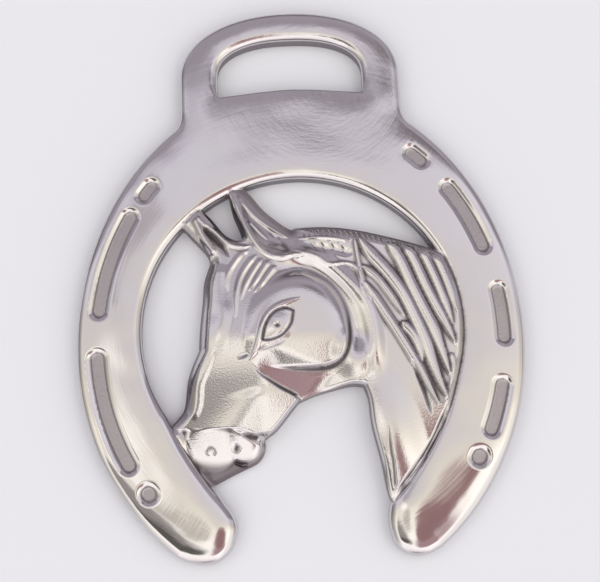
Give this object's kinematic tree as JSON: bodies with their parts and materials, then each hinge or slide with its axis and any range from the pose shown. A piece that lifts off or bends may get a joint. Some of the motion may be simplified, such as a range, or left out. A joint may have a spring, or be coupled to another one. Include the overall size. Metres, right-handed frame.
{
  "type": "horse brass",
  "caption": "Horse brass cast in one piece: a horseshoe with a strap loop on top and a horse's head in relief in its opening, plated and polished, with nail recesses and a flat back.",
  "frame": {"origin": "middle of the outline, on the flat back that the brass lies on", "axes": "+X to the right seen from the front, +Y towards the strap loop, +Z out of the front face"},
  "size_m": [0.0688, 0.0892, 0.0057],
  "materials": {
    "plated_brass": "polished silver-coloured plating over cast brass, fine brush marks on the flat, grainy in the recesses"
  },
  "bodies": {
    "root": {"horse_brass": "plated_brass"}
  },
  "joints": []
}
